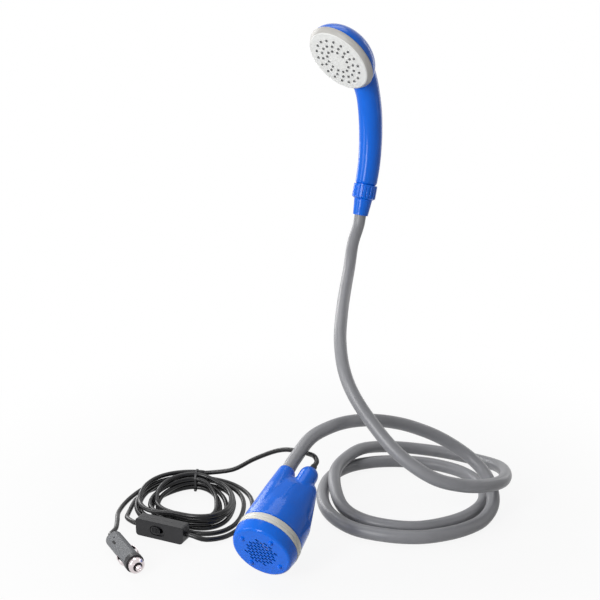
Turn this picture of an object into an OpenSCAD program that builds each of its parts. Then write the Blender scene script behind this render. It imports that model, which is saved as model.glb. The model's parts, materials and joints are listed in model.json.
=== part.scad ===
// Camp shower kit: a submersible 12 V pump, a hose laid in two loose loops, a hand shower
// held up as in use, and a coiled supply cable with an in-line slide switch and a vehicle plug.
// Millimetres, +Z up, +Y away from the viewer. The floor is z = 0 and the origin is the middle
// of the pump and the hand shower on it.

/* [Pump] */
// Diameter of the pump at its trim band
pump_d = 66; // [60:0.5:72]
// Height of the intake cap below the trim band
cap_h = 12; // [10:0.5:16]
// Width of the pale trim band
band_w = 9; // [7:0.5:11]
// Height of the shell from its lower rim to the hose collar
shell_h = 73; // [70:0.5:80]
// Wall of the pump mouldings
pump_wall = 2.2; // [1.8:0.1:2.6]
// Radius of the circle that the four feet stand on
feet_r = 22.2; // [21:0.1:24]
// Radius of one foot
foot_r = 2.4; // [1.8:0.1:2.8]
// Radius of the grille in the intake cap
grille_r = 18; // [14:0.5:19]
// Turn of the cap from locked to free
cap_turn = 22; // [15:1:30]
// Angle of the pump axis above the floor
pump_rise = 20; // [15:1:25]

/* [Motor] */
// Diameter of the motor can
motor_d = 24.4; // [22:0.2:25]
// Length of the motor can
motor_len = 34; // [30:0.5:36]
// Diameter of the motor shaft
shaft_d = 2.3; // [2:0.1:3]
// Diameter of the impeller
impeller_d = 30; // [24:0.5:32]
// Number of impeller blades
blades = 6; // [4:1:8]

/* [Hose] */
// Outer diameter of the hose
hose_d = 14; // [13:0.1:14.2]
// Bore of the hose
hose_bore = 10; // [9:0.1:11]
// Length of the spigots that the hose ends are pushed on
spigot_len = 20; // [16:0.5:24]

/* [Handset] */
// Height of the hose nut's upper rim above the floor
hand_h = 324; // [318:1:330]
// Diameter of the spray face over its rim
head_d = 85; // [80:0.5:90]
// Depth of the pale rim round the spray face
rim_h = 7; // [6:0.1:9]
// Depth of the dome behind the rim
dome_h = 27; // [22:0.5:30]
// Diameter of the grip at its middle
grip_d = 28; // [25:0.5:30]
// Diameter of the grip at the hose nut
grip_end_d = 26; // [25:0.5:28]
// Wall of the hand shower mouldings
handset_wall = 2.5; // [2:0.1:3]
// Diameter of the fluted hose nut
nut_d = 28; // [27:0.5:30]
// Length of the fluted part of the nut
nut_grip_h = 17; // [15:0.5:20]
// Length of the whole nut with its sleeve
nut_h = 37; // [34:0.5:42]
// Number of flutes on the nut
flutes = 20; // [14:1:24]
// Radius of the outer ring of nozzles
nozzle_r = 29; // [26:0.5:31]
// Distance from one ring of nozzles to the next
nozzle_step = 7.3; // [6:0.1:8]

/* [Cable] */
// Diameter of the supply cable
cable_d = 5; // [4.6:0.1:5.2]
// Radius of the cable coil at its inner turns
coil_in_r = 34; // [32:0.5:36]
// Radius of the cable coil at its outer turns
coil_out_r = 61; // [58:0.5:61.5]
// Full turns in the coil, without the part turn at its end
coil_turns = 7; // [5:1:8]

/* [Switch] */
// Length of the switch
switch_len = 56; // [50:0.5:58]
// Height of the switch, which lies on its side
switch_h = 19; // [17:0.5:20]
// Thickness of the switch
switch_t = 13; // [12:0.1:13.5]
// Travel of the thumb slider
slider_travel = 5; // [3:0.1:6]

/* [Plug] */
// Width of the plug body
plug_w = 17; // [16:0.1:18]
// Length of the plug body
plug_len = 50; // [46:0.5:54]
// Diameter of the metal nose ring
nose_d = 15.6; // [14:0.1:16]
// Diameter of the collar that the nose ring screws on
collar_d = 18.6; // [17.5:0.1:19]
// Travel of the sprung tip
tip_travel = 3; // [2:0.1:3.5]
// Travel of the side contacts
contact_travel = 1.2; // [0.8:0.1:1.4]

/* [Fits] */
// Radial clearance of parts that turn or slide in one another
run_gap = 0.3; // [0.2:0.05:0.4]
// Radial clearance of parts that are pushed or glued together
seat_gap = 0.05; // [0.03:0.01:0.1]

/* [Hidden] */
$fn = 64;

// Colours
blue = [0.08, 0.32, 0.80];
cream = [0.86, 0.85, 0.79];
grey = [0.48, 0.48, 0.50];
pale = [0.87, 0.88, 0.87];
black = [0.12, 0.12, 0.13];
charcoal = [0.33, 0.34, 0.36];
chrome = [0.82, 0.81, 0.83];
brass = [0.80, 0.66, 0.35];
copper = [0.75, 0.42, 0.22];
rubber = [0.08, 0.08, 0.08];

// Vectors
function unit(v) = v / norm(v);
function mix(a, b, t) = a + (b - a) * t;

// Pump frame: its axis runs from the intake face up to the hose collar, and the cap's rim is on the floor
pump_r = pump_d / 2;
rim_in_r = 2;
rim_z = 2.4;
pump_at = [-54, -170, (pump_r - rim_in_r) * cos(pump_rise) - rim_z * sin(pump_rise)];
pump_yaw = 26;
pump_x = [cos(pump_yaw), -sin(pump_yaw), 0];
pump_z = [sin(pump_yaw) * cos(pump_rise), cos(pump_yaw) * cos(pump_rise), sin(pump_rise)];
pump_y = cross(pump_z, pump_x);
function pump_point(p) = pump_at + p[0] * pump_x + p[1] * pump_y + p[2] * pump_z;
module at_pump() translate(pump_at) rotate([pump_rise - 90, 0, -pump_yaw]) children();

// Pump levels along its axis
shell_z = cap_h + band_w;
collar_z = shell_z + shell_h;
skirt_r = pump_r - pump_wall * 2 - 0.4;
face_gap = 0.3;

// Hose collar and cable boss at the top of the shell, in the pump frame
collar_at = [-13.5, -15];
collar_wall = 1.3;
boss_at = [9.2, -13];
boss_r = 9.8;
boss_h = 18;
boss_z = collar_z + 1;
gland_r = 3.9;
gland_end_r = 3.1;
gland_out = 5;
gland_in = 7;
gland_at = boss_at;
// Sections of the shell: place, height above its rim and how far inside the pump's radius
body_low_in = 0.6;
body_mid_at = [1, 0];
body_mid_z = 24;
body_mid_in = 2.8;
body_top_at = [2, -3];
body_top_z = 50;
body_top_in = 10.5;
shoulder_at = [12.5, -8];
shoulder_z = 56;
shoulder_r = 12;
collar_blend = 12;
duct_low_at = [-7, -8];
duct_low_z = 6;
duct_low_in = 11;
duct_mid_at = [-10.5, -12];
duct_mid_z = 46;
duct_mid_in = 18.2;

// Wet end, its levels counted down from the shell's rim
motor_r = motor_d / 2;
volute_r = skirt_r - pump_wall - 1.2;
volute_top = shell_z + 1;
flange_h = 1.6;
socket_h = 4;
socket_wall = 1.4;
port_bore_r = 3;
pipe_r = port_bore_r + 1;
pipe_seat = 5;
roof_h = 6;
chamber_h = 8;
chamber_r = impeller_d / 2 + 2;
volute_z = volute_top - roof_h - chamber_h;
plate_h = 2;
plate_z = volute_z - plate_h;
eye_r = 7;
screw_r = 1;
screw_len = 7;
seal_r = 5;
seal_h = 3;
// The outlet stands beside the motor's socket
port_turn = 201;
port_r = motor_r + socket_wall + 0.4 + pipe_r;
port_at = port_r * [cos(port_turn), sin(port_turn)];

// Motor levels
motor_z = volute_top + seat_gap;
motor_top = motor_z + motor_len;
can_wall = 1;
bell_h = 6;
bush_r = 3;
bush_len = 3;
core_r = motor_r - 4.8;
core_z = motor_z + 7;
core_h = motor_len - 18;
magnet_gap = 0.5;
commutator_z = core_z + core_h + 2.6;
pin_x = 8;
pin_r = 0.9;
pin_top = motor_top + bell_h;
shaft_z = volute_z + 0.6;
shaft_top = motor_top + bell_h - 1.6;

// Hand shower frame: +X is the way the spray face looks
handset_at = [66.5, 175, 0];
handset_yaw = 222;
module at_handset() translate(handset_at) rotate([0, 0, handset_yaw]) children();
function handset_point(x, z) = handset_at + [x * cos(handset_yaw), x * sin(handset_yaw), z];
// Middle line of the grip, as forward and height, from the nut to the dome
grip_shape = [[6.6, 0], [2.2, 22], [0.2, 44], [0.2, 66], [2.2, 88], [6.5, 108], [14, 126], [24, 141]];
grip_line = [for (p = grip_shape) p + [0, hand_h]];
// The bore of the grip runs on into the dome
bore_end = [34, hand_h + 149];
bore_over = 8;
nut_lean = 13.4;
nut_top = grip_line[0];
nut_dir = [sin(nut_lean), -cos(nut_lean)];
function nut_point(w) = handset_point(nut_top[0] + nut_dir[0] * w, nut_top[1] + nut_dir[1] * w);
module at_nut() at_handset() translate([nut_top[0], 0, nut_top[1]]) rotate([0, 180 - nut_lean, 0])
    children();
// Spray face: its middle, and how far its axis dips below level
face_at = [55, hand_h + 144];
face_dip = 38;
module at_face() at_handset() translate([face_at[0], 0, face_at[1]]) rotate([0, face_dip - 90, 0])
    children();
thread_r = nut_d / 2 - 4.2;
thread_h = 13;
sleeve_top_r = nut_d / 2 - 3;
sleeve_end_r = hose_d / 2 + 2;
hose_end_w = 15;

// Hose route: straight off the pump, over in an arch, two loose loops on the floor, up to the hand shower
hose_r = hose_d / 2;
hose_seat_z = collar_z - spigot_len;
hose_start = [
    pump_point([collar_at[0], collar_at[1], hose_seat_z]),
    pump_point([collar_at[0], collar_at[1], collar_z + 2]),
    pump_point([collar_at[0], collar_at[1], collar_z + 18])
];
arch_route = [
    [-6, -48, 92], [15, -30, 97], [38, -14, 97], [65, 1, 92], [93, 11, 84], [116, 16, 75], [138, 17, 65],
    [159, 14, 53], [176, 5, 42], [187, -10, 32], [191, -30, 22]
];
loops_route = [
    [188, -48, 14], [176, -66, 8], [158, -82, 7], [133, -95, 7], [103, -102, 7], [70, -98, 7], [37, -83, 7],
    [15, -52, 7], [8, -12, 7], [16, 32, 7], [38, 62, 7], [70, 77, 7], [105, 79, 7], [140, 71, 7],
    [170, 51, 7], [186, 21, 7], [187, -10, 7], [175, -40, 7], [148, -66, 7], [108, -82, 7], [73, -78, 7],
    [46, -65, 8], [29, -42, 10], [22, -8, 15], [23, 24, 20], [35, 52, 22.5], [57, 82, 22], [90, 106, 14],
    [127, 113, 8], [162, 100, 8], [192, 70, 13], [209, 34, 22], [209, -6, 32]
];
rise_route = [
    [198, -42, 40], [176, -65, 46], [148, -76, 52], [118, -76, 61], [85, -61, 80], [59, -39, 105],
    [40, -22, 130], [30, -2, 152], [27, 28, 175], [30, 62, 196], [35, 97, 213], [41, 130, 232],
    [46, 151, 256]
];
hose_end = [nut_point(nut_h + 13), nut_point(nut_h - 2), nut_point(hose_end_w)];
hose_route = concat(hose_start, arch_route, loops_route, rise_route, hose_end);
loops_first = len(hose_start) + len(arch_route) - 1;
rise_first = loops_first + len(loops_route);
hose_sides = 12;

// Cable coil: a spiral that runs out and in again, one layer higher after each reversal
cable_r = cable_d / 2;
coil_at = [-139, -25];
coil_layers = 4;
coil_lift = cable_d + 0.6;
coil_floor = 0.3;
tie_t = 1;
tie_low = 0.2;
coil_start = 180;
coil_end = 70;
coil_sweep = coil_start - coil_end + 360 * coil_turns;
climb = 180;
layer_sweep = (coil_sweep - climb * (coil_layers - 1)) / coil_layers;
coil_step = 15;
tie_angle = 84;
tie_squeeze = 0.6;
tie_reach = 34;
switch_angle = 253;
switch_dent = 0.42;
coil_loose = 4;
wander_rate = 0.62;
bulge_angle = 303;
coil_bulge = 13;
coil_mid_r = (coil_in_r + coil_out_r) / 2;
// Sweep within the layer and climb that the angle run belongs to
function coil_layer(a) = min(floor(a / (layer_sweep + climb)), coil_layers - 1);
function coil_into(a) = a - coil_layer(a) * (layer_sweep + climb);
function coil_share(a) = min(coil_into(a) / layer_sweep, 1);
function coil_rise(a) = max((coil_into(a) - layer_sweep) / climb, 0);
function coil_even_r(a) = coil_layer(a) % 2 == 0 ? mix(coil_out_r, coil_in_r, coil_share(a))
                                                : mix(coil_in_r, coil_out_r, coil_share(a));
// Loosely wound: the turns wander inwards, each by its own amount
function coil_free_r(a) = coil_even_r(a) - coil_loose * (1 - cos(a * wander_rate)) / 2;
// The turns are drawn together under the tie, pressed in behind the switch and bulge beside it
function turned(g) = g % 360 > 180 ? g % 360 - 360 : g % 360;
function pull(g, at) = exp(-pow(turned(g - at) / tie_reach, 2));
function coil_angle(a) = coil_start - a + 360 * (coil_turns + 2);
function coil_tied_r(a) = mix(coil_free_r(a), coil_mid_r, tie_squeeze * pull(coil_angle(a), tie_angle));
function coil_r(a) = mix(coil_tied_r(a), coil_in_r, switch_dent * pull(coil_angle(a), switch_angle))
    + coil_bulge * pull(coil_angle(a), bulge_angle);
function coil_z(a) = cable_r + coil_floor + coil_lift * (coil_layer(a) + coil_rise(a))
    + (tie_t + tie_low) * pull(coil_angle(a), tie_angle);
function coil_point(a) = [
    coil_at[0] + coil_r(a) * cos(coil_angle(a)),
    coil_at[1] + coil_r(a) * sin(coil_angle(a)),
    coil_z(a)
];
function coil_lead(a, d) = coil_point(a) + cable_d * d * unit([sin(coil_angle(a)), -cos(coil_angle(a)), 0]);
coil_turn_points = [for (a = [0 : coil_step : coil_sweep]) coil_point(a)];
coil_last = coil_step * floor(coil_sweep / coil_step);
coil_tail = coil_last < coil_sweep - 1 ? [coil_point(coil_sweep)] : [];
coil_route = concat([coil_lead(0, -1)], coil_turn_points, coil_tail, [coil_lead(coil_sweep, 1)]);

// Free stretches of the cable
gland_point = pump_point([gland_at[0], gland_at[1], boss_z + boss_r + gland_out]);
pump_lead_route = concat(
    [coil_lead(coil_sweep, 2.4)],
    [[-92, 10, 29], [-69, -3, 47], [-48, -19, 63], [-34, -31, 71.5], [-22, -42, 75.5], [-12, -51, 77]],
    [[-4, -62.5, 79.5], [-1, -73, 81.2], gland_point + pump_z * cable_d * 1.2, gland_point]
);
// Switch frame: +X along its length, +Z up, its thumb slider towards -Y
switch_at = [-158.5, -89, 0];
switch_yaw = -23.7;
module at_switch() translate(switch_at) rotate([0, 0, switch_yaw]) children();
function switch_point(x, z) = switch_at + [x * cos(switch_yaw), x * sin(switch_yaw), z];
entry_z = switch_h / 2;
switch_lead_route = concat(
    [switch_point(-switch_len / 2, entry_z), switch_point(-switch_len / 2 - 6, entry_z)],
    [[-196, -67, 8], [-200, -58, 6], [-201, -48, 4]],
    [coil_lead(0, -2.4)]
);
supply_route = concat(switch_lead_route, coil_route, eased(pump_lead_route));
coil_first = len(switch_lead_route);
coil_final = coil_first + len(coil_route) - 1;
// Plug frame: +Z runs from the cable to the tip
plug_lift = 0.3;
plug_at = [-204.4, -110, collar_d / 2 + plug_lift];
plug_yaw = 31;
plug_roll = 25;
plug_dir = [sin(plug_yaw), -cos(plug_yaw), 0];
module at_plug() translate(plug_at) rotate([90, 0, plug_yaw]) rotate([0, 0, plug_roll]) children();
plug_lead_route = concat(
    [switch_point(switch_len / 2, entry_z), switch_point(switch_len / 2 + 7, entry_z)],
    [[-112, -105, 6], [-92, -92, 2.8], [-76, -68, 2.8], [-69, -38, 2.8], [-72, -6, 2.8], [-88, 21, 2.8],
     [-112, 38, 2.8], [-140, 44, 2.8], [-168, 38, 2.8], [-192, 18, 2.8], [-206, -10, 2.8], [-212, -40, 3.4],
     [-209, -66, 6], [-207, -86, 8]],
    [plug_at - plug_dir * 10, plug_at]
);
cable_sides = 8;
coil_sides = 6;

// The same route with a point added in the middle of each stretch, on a smooth bend
function middle(p, i) = i == 0 || i == len(p) - 2 ? mix(p[i], p[i + 1], 0.5)
    : (9 * (p[i] + p[i + 1]) - p[i - 1] - p[i + 2]) / 16;
function eased(p) = [for (i = [0 : len(p) - 1]) each i < len(p) - 1 ? [p[i], middle(p, i)] : [p[i]]];

// Swept tube of the route's points from first to last
function along(p, i) = unit(p[min(i + 1, len(p) - 1)] - p[min(max(i - 1, 0), len(p) - 2)]);
function squared(s, t) = unit(s - (s * t) * t);
function start_side(t) = squared(abs(t[2]) < 0.8 ? [0, 0, 1] : [1, 0, 0], t);
function carried(p) = [
    for (i = 0, s = start_side(along(p, 0)); i < len(p); i = i + 1, s = squared(s, along(p, i))) s
];
function ring(c, s, t, r, n) = [
    for (k = [0 : n - 1]) c + r * (cos(360 * k / n) * s + sin(360 * k / n) * cross(t, s))
];
module swept(route, r, n, first, last) {
    side = carried(route);
    points = [for (i = [first : last]) each ring(route[i], side[i], along(route, i), r, n)];
    rows = last - first;
    walls = [
        for (i = [0 : rows - 1], k = [0 : n - 1])
            let (a = i * n + k, b = i * n + (k + 1) % n)
                each [[a, a + n, b + n], [a, b + n, b]]
    ];
    start_cap = [for (k = [1 : n - 2]) [0, k, k + 1]];
    end_cap = [for (k = [1 : n - 2]) [rows * n, rows * n + k + 1, rows * n + k]];
    polyhedron(points, concat(walls, start_cap, end_cap), convexity = 8);
}
module whole(route, r, n) swept(route, r, n, 0, len(route) - 1);
// The same with a bore
module hollow(route, r, bore, n, first, last) {
    side = carried(route);
    outer = [for (i = [first : last]) each ring(route[i], side[i], along(route, i), r, n)];
    inner = [for (i = [first : last]) each ring(route[i], side[i], along(route, i), bore, n)];
    rows = last - first;
    m = len(outer);
    walls = [
        for (i = [0 : rows - 1], k = [0 : n - 1])
            let (a = i * n + k, b = i * n + (k + 1) % n)
                each [
                    [a, a + n, b + n], [a, b + n, b],
                    [m + a, m + b + n, m + a + n], [m + a, m + b, m + b + n]
                ]
    ];
    ends = [
        for (k = [0 : n - 1])
            let (a = k, b = (k + 1) % n, c = rows * n + k, d = rows * n + (k + 1) % n)
                each [[a, b, m + b], [a, m + b, m + a], [d, c, m + c], [d, m + c, m + d]]
    ];
    polyhedron(concat(outer, inner), concat(walls, ends), convexity = 8);
}

// Least distance between points of a route that lie further apart along it than the reach
function least_gap(p, reach) = min([
    for (i = [0 : len(p) - 1], j = [i + reach : len(p) - 1]) if (j < len(p)) norm(p[i] - p[j])
]);
echo("cable coil, least gap between turns", least_gap(coil_route, 12) - cable_d);
function halved(p) = [for (i = [0 : len(p) - 2], t = [0, 0.25, 0.5, 0.75]) mix(p[i], p[i + 1], t)];
echo("hose, least gap to itself", least_gap(halved(hose_route), 16) - hose_d);
function length_of(p, i = 1) = i >= len(p) ? 0 : norm(p[i] - p[i - 1]) + length_of(p, i + 1);
echo("hose length", length_of(hose_route));
echo("cable lengths", length_of(pump_lead_route), length_of(coil_route), length_of(switch_lead_route),
     length_of(plug_lead_route));

// Small helpers
module ring_solid(r_out, r_in, h) difference() {
    cylinder(h = h, r = r_out);
    translate([0, 0, -1]) cylinder(h = h + 2, r = r_in);
}
module sector(r_out, r_in, h, angle) rotate_extrude(angle = angle)
    translate([r_in, 0]) square([r_out - r_in, h]);

// Pump mouldings
module shell_disc(at, z, r) translate([at[0], at[1], z]) cylinder(h = 0.1, r = r, $fn = 60);
module shell_ball(at, z, r) translate([at[0], at[1], z]) sphere(r = r, $fn = 40);
module shell_form(inset) {
    base = shell_z + inset * 0.4;
    top = hose_r + run_gap + collar_wall - inset;
    // Body that tapers to the shoulder under the cable boss
    hull() {
        shell_disc([0, 0], base, pump_r - body_low_in - inset);
        shell_disc(body_mid_at, shell_z + body_mid_z, pump_r - body_mid_in - inset);
        shell_disc(body_top_at, shell_z + body_top_z, pump_r - body_top_in - inset);
        shell_disc(collar_at, collar_z - collar_blend - inset, top - 1);
        shell_ball(shoulder_at, shell_z + shoulder_z, shoulder_r - inset);
    }
    // Cable boss with a domed end
    hull() {
        shell_disc(boss_at, boss_z - boss_h, boss_r - inset);
        shell_ball(boss_at, boss_z, boss_r - inset);
    }
    // Raised duct that leads the water to the hose collar
    hull() {
        shell_disc(duct_low_at, shell_z + duct_low_z, pump_r - duct_low_in - inset);
        shell_disc(duct_mid_at, shell_z + duct_mid_z, pump_r - duct_mid_in - inset);
        shell_disc(collar_at, collar_z - 0.1 - inset, top);
    }
}
module bayonet(r, z, grow) for (k = [0 : 2]) translate([0, 0, z - grow]) rotate([0, 0, 120 * k - grow])
    sector(r, skirt_r - 1, 3 + 2 * grow, 16 + 2 * grow + (grow > 0 ? cap_turn : 0));
module pump_shell() color(blue) at_pump() {
    difference() {
        union() {
            shell_form(0);
            translate([0, 0, cap_h + face_gap]) cylinder(h = band_w, r = skirt_r + run_gap + pump_wall);
        }
        shell_form(pump_wall);
        translate([0, 0, cap_h - 1]) cylinder(h = band_w + 2, r = skirt_r + run_gap);
        translate([collar_at[0], collar_at[1], hose_seat_z - 2]) cylinder(h = shell_h, r = hose_r + run_gap);
        translate([gland_at[0], gland_at[1], boss_z - gland_in])
            cylinder(h = shell_h, r = gland_r + seat_gap);
        bayonet(skirt_r + 1.2, cap_h + 4, run_gap);
    }
}
module trim_band() color(cream) at_pump() translate([0, 0, cap_h + face_gap]) rotate_extrude() {
    inner = skirt_r + run_gap + pump_wall + seat_gap;
    h = band_w - 2 * face_gap;
    polygon([
        [inner, 0], [pump_r - 0.5, 0], [pump_r, 0.6], [pump_r, h - 0.6], [pump_r - 0.5, h], [inner, h]
    ]);
}
// Cup with a staggered grille, a skirt with three lugs and four feet
feet_turn = 38;
cap_floor = 2.4;
slot_l = 4;
slot_w = 2.1;
slot_row = 3.1;
slot_pitch = 5.4;
module grille() {
    rows = floor(grille_r / slot_row);
    for (j = [-rows : rows]) {
        shift = abs(j) % 2 == 0 ? 0 : slot_pitch / 2;
        half = sqrt(max(grille_r * grille_r - j * slot_row * j * slot_row, 0)) - slot_l / 2;
        for (i = [-4 : 4]) if (abs(i * slot_pitch + shift) <= half)
            translate([i * slot_pitch + shift, j * slot_row, 0]) cube([slot_l, slot_w, 8], center = true);
    }
}
module intake_cap() color(blue) at_pump() {
    difference() {
        union() {
            rotate_extrude() polygon([
                [0, 0], [pump_r - 5, 0], [pump_r - 3, 0.9], [pump_r - rim_in_r, rim_z],
                [pump_r - 0.3, cap_h - 1], [pump_r - 0.5, cap_h], [skirt_r, cap_h],
                [skirt_r, cap_h + band_w - 1], [0, cap_h + band_w - 1]
            ]);
            bayonet(skirt_r + 0.9, cap_h + 4, 0);
        }
        translate([0, 0, cap_floor]) cylinder(h = cap_h + band_w, r = skirt_r - pump_wall);
        rotate([0, 0, feet_turn]) grille();
        translate([0, 0, cap_h + 1.2]) ring_solid(skirt_r + 1, skirt_r - 1, 1.8);
    }
    for (k = [0 : 3]) rotate([0, 0, 90 * k + feet_turn]) translate([feet_r, 0, 0])
        sphere(r = foot_r, $fn = 32);
}
module cap_seal() color(rubber) at_pump() translate([0, 0, cap_h + 2.1]) rotate_extrude()
    translate([skirt_r - 0.4, 0]) circle(r = 0.6);

// Wet end: plate with the suction eye, volute, riser pipe and seal
module screw_places() for (k = [0 : 2]) rotate([0, 0, 120 * k + 40]) translate([volute_r - 2.4, 0, 0])
    children();
module port_place() translate([port_at[0], port_at[1], 0]) children();
module suction_plate() color(black) at_pump() translate([0, 0, plate_z]) difference() {
    cylinder(h = plate_h, r = volute_r);
    translate([0, 0, -1]) cylinder(h = plate_h + 2, r = eye_r);
    screw_places() translate([0, 0, -1]) cylinder(h = plate_h + 2, r = screw_r + seat_gap);
}
module volute() color(black) at_pump() difference() {
    union() {
        translate([0, 0, volute_z]) cylinder(h = volute_top - volute_z, r = volute_r);
        translate([0, 0, volute_top - flange_h]) cylinder(h = flange_h, r = skirt_r + run_gap - seat_gap);
        translate([0, 0, volute_top - 1])
            ring_solid(motor_r + socket_wall, motor_r + seat_gap, socket_h + 1);
        port_place() translate([0, 0, volute_top - 1])
            ring_solid(pipe_r + socket_wall, pipe_r + seat_gap, pipe_seat + 1);
    }
    translate([0, 0, volute_z - 1]) cylinder(h = chamber_h + 1, r = chamber_r);
    port_place() translate([0, 0, volute_z + 2]) cylinder(h = volute_top, r = port_bore_r);
    port_place() translate([0, 0, volute_top]) cylinder(h = pipe_seat + 1, r = pipe_r + seat_gap);
    translate([0, 0, volute_top]) cylinder(h = socket_h + pipe_seat, r = motor_r + seat_gap);
    translate([0, 0, volute_top - seal_h]) cylinder(h = seal_h + 1, r = seal_r + seat_gap);
    translate([0, 0, volute_z]) cylinder(h = volute_top, r = shaft_d / 2 + run_gap);
    screw_places() translate([0, 0, volute_z - 1]) cylinder(h = screw_len, r = screw_r + seat_gap);
}
module volute_screws() color(chrome) at_pump() screw_places() {
    translate([0, 0, plate_z]) cylinder(h = screw_len, r = screw_r);
    translate([0, 0, plate_z - 1.2]) cylinder(h = 1.2, r = screw_r * 1.9);
}
// Riser from the volute port to the spigot in the hose collar
spigot_r = hose_bore / 2 - seat_gap;
spigot_short = 3;
barb_z = 5;
barb_pitch = 4;
barb_step = 0.7;
barb_taper = 0.9;
riser_step = 0.3;
riser_over = 4;
knee_drop = 4;
riser_seat = 9;
riser_gap = 0.6;
module barbs(low) rotate_extrude() polygon([
    [0, 0], [spigot_r, 0],
    for (k = [0, 1]) each [
        [spigot_r, low + barb_z + barb_pitch * k], [spigot_r - barb_step, low + barb_z + barb_pitch * k]
    ],
    [spigot_r, low + barb_z + barb_pitch * 2], [spigot_r - barb_taper, low + spigot_len - spigot_short],
    [0, low + spigot_len - spigot_short]
]);
module outlet_pipe() color(black) at_pump() {
    low = [port_at[0], port_at[1], volute_top];
    top = [collar_at[0], collar_at[1], hose_seat_z];
    bend = low + [0, 0, pipe_seat + 1];
    knee = top - [0, 0, knee_drop];
    run = knee - bend;
    lean = [0, acos(run[2] / norm(run)), atan2(run[1], run[0])];
    difference() {
        union() {
            translate(low) cylinder(h = pipe_seat + riser_over, r = pipe_r);
            translate(bend) rotate(lean) cylinder(h = norm(run), r = pipe_r - riser_step);
            translate(top - [0, 0, riser_seat]) cylinder(h = riser_seat, r = hose_r - riser_gap);
            translate(top - [0, 0, 1]) barbs(1);
        }
        translate(low - [0, 0, 1]) cylinder(h = pipe_seat + riser_over - 1.5, r = port_bore_r);
        translate(bend - unit(run)) rotate(lean)
            cylinder(h = norm(run) + 2, r = port_bore_r - riser_step);
        translate(knee - [0, 0, 0.7]) cylinder(h = spigot_len + 2 * knee_drop, r = port_bore_r);
    }
}
module shaft_seal() color(rubber) at_pump() translate([0, 0, volute_top - seal_h])
    ring_solid(seal_r, shaft_d / 2 + seat_gap, seal_h);

// Motor
module motor_can() color(chrome) at_pump() translate([0, 0, motor_z]) difference() {
    cylinder(h = motor_len, r = motor_r);
    translate([0, 0, can_wall]) cylinder(h = motor_len, r = motor_r - can_wall);
    translate([0, 0, -1]) cylinder(h = can_wall + 2, r = bush_r + seat_gap);
}
module motor_magnets() color(charcoal) at_pump() for (k = [0, 1])
    translate([0, 0, motor_z + 5]) rotate([0, 0, 180 * k + 20])
        sector(motor_r - can_wall - seat_gap, core_r + magnet_gap, motor_len - 12, 140);
module motor_end_bell() color(pale) at_pump() translate([0, 0, motor_top + seat_gap]) difference() {
    union() {
        cylinder(h = 3, r = motor_r);
        cylinder(h = bell_h, r = bush_r + 2);
    }
    translate([0, 0, -1]) cylinder(h = bell_h - 0.4, r = bush_r + seat_gap);
    for (s = [-1, 1]) translate([s * pin_x, 0, -1]) cylinder(h = bell_h, r = pin_r + seat_gap);
}
// Each brush hangs on a pin that goes out through the end bell
module motor_brushes() color(brass) at_pump() for (s = [-1, 1]) {
    translate([s * pin_x, 0, motor_top - 3]) cylinder(h = pin_top - motor_top + 3, r = pin_r);
    translate([s * (pin_x - 2.1) - 2.4, -1, motor_top - 5]) cube([4.8, 2, 2.2]);
}
module shaft_bushes() color(brass) at_pump() for (z = [motor_z, motor_top + bell_h - 1.4 - bush_len])
    translate([0, 0, z]) ring_solid(bush_r, shaft_d / 2 + seat_gap, bush_len);
lead_r = 0.8;
module motor_leads() color([0.6, 0.1, 0.1]) at_pump() for (s = [-1, 1]) {
    end = [gland_at[0] + s * 1.2, gland_at[1], boss_z - gland_in];
    whole([
        [s * pin_x, 0, pin_top],
        [s * pin_x, 0, pin_top + 3],
        mix([s * pin_x, 0, pin_top + 3], end, 0.6),
        end - [0, 0, 2.5],
        end
    ], lead_r, 8);
}
module cable_gland() color(rubber) at_pump() translate([gland_at[0], gland_at[1], boss_z - gland_in]) {
    neck = gland_in + boss_r;
    rotate_extrude() polygon([
        [0, 0], [gland_r, 0], [gland_r, neck + 0.6], [gland_r - 0.3, neck + 1.2],
        [gland_end_r, neck + gland_out], [0, neck + gland_out]
    ]);
}

// Rotor
module motor_shaft() color(chrome) at_pump() translate([0, 0, shaft_z])
    cylinder(h = shaft_top - shaft_z, r = shaft_d / 2);
module armature_core() color(charcoal) at_pump() translate([0, 0, core_z]) difference() {
    cylinder(h = core_h, r = core_r);
    translate([0, 0, -1]) cylinder(h = core_h + 2, r = shaft_d / 2);
    for (k = [0 : 2]) rotate([0, 0, 120 * k]) {
        translate([core_r - 3.6, 0, -1]) cylinder(h = core_h + 2, r = 2.2);
        translate([core_r - 2, -0.7, -1]) cube([4, 1.4, core_h + 2]);
    }
}
// End turns of the three coils, above and below the core
turns_h = 2.15;
module armature_windings() color(copper) at_pump()
    for (k = [0 : 2], z = [core_z - turns_h, core_z + core_h])
        rotate([0, 0, 120 * k + 60]) translate([0, 0, z]) difference() {
            translate([2.2, -3.2, 0]) cube([core_r - 2.8, 6.4, turns_h]);
            translate([0, 0, -1]) cylinder(h = turns_h + 2, r = 2.6);
        }
module commutator() color(copper) at_pump() translate([0, 0, commutator_z])
    ring_solid(3, shaft_d / 2, motor_top - 1.2 - commutator_z);
// Backward-curved blades on a disc and hub
impeller_z = volute_z + 1;
blade_h = chamber_h - 3.4;
blade_t = 1.4;
disc_h = 1.4;
blade_start = 46;
blade_sweep = 70;
module blade() translate([impeller_d * 0.27, -impeller_d * 0.19, 0]) rotate([0, 0, blade_start])
    sector(impeller_d * 0.3, impeller_d * 0.3 - blade_t, blade_h + disc_h / 2, blade_sweep);
module impeller() color(cream) at_pump() translate([0, 0, impeller_z]) difference() {
    union() {
        translate([0, 0, blade_h]) cylinder(h = disc_h, r = impeller_d / 2);
        cylinder(h = blade_h + disc_h / 2, r = 3.4);
        for (k = [0 : blades - 1]) rotate([0, 0, 360 * k / blades]) blade();
    }
    translate([0, 0, -1]) cylinder(h = chamber_h, r = shaft_d / 2);
}

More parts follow.
